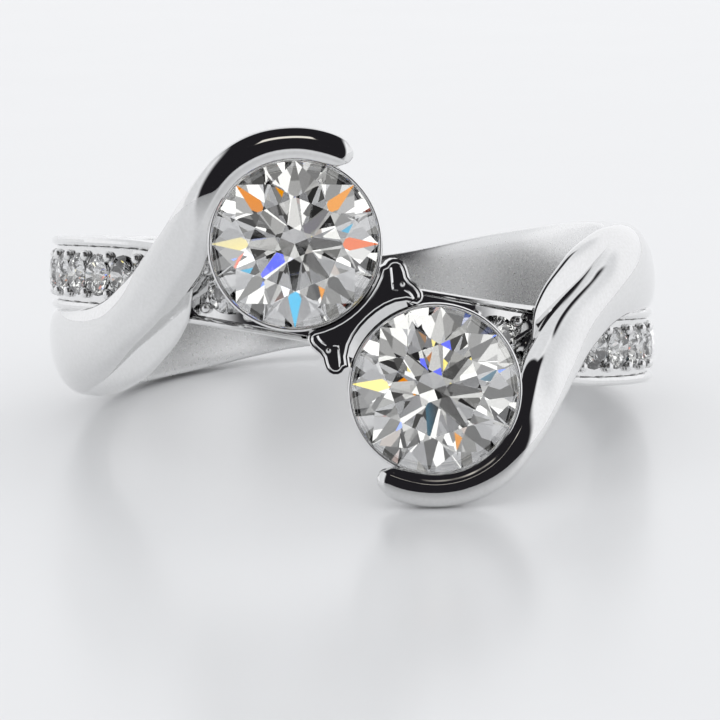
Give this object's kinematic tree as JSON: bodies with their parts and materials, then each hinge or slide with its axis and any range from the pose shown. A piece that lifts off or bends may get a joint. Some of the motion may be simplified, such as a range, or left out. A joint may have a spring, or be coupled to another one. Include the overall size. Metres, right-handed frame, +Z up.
{
  "type": "twist ring",
  "caption": "Finger ring whose two round brilliants sit side by side in thin bezels, each half wrapped by a polished ribbon that crosses over a band of small stones.",
  "frame": {"origin": "middle of the bounding box's bottom face, on the surface that the ring rests on", "axes": "+Z up, close to the finger axis; the two main stones face -Y, and +X is the wearer's side of the lower main stone"},
  "size_m": [0.0206, 0.0222, 0.0117],
  "materials": {
    "white_gold": "mirror polished white gold",
    "diamond": "clear, cut and polished",
    "melee_diamond": "clear, cut and polished, very small"
  },
  "bodies": {
    "root": {"ring_body": "white_gold", "stone_upper": "diamond", "stone_lower": "diamond", "melee_left_1": "melee_diamond", "melee_left_2": "melee_diamond", "melee_left_3": "melee_diamond", "melee_left_4": "melee_diamond", "melee_left_5": "melee_diamond", "melee_left_6": "melee_diamond", "melee_left_7": "melee_diamond", "melee_left_8": "melee_diamond", "melee_left_9": "melee_diamond", "melee_right_1": "melee_diamond", "melee_right_2": "melee_diamond", "melee_right_3": "melee_diamond", "melee_right_4": "melee_diamond", "melee_right_5": "melee_diamond", "melee_right_6": "melee_diamond", "melee_right_7": "melee_diamond", "melee_right_8": "melee_diamond", "melee_right_9": "melee_diamond"}
  },
  "joints": []
}
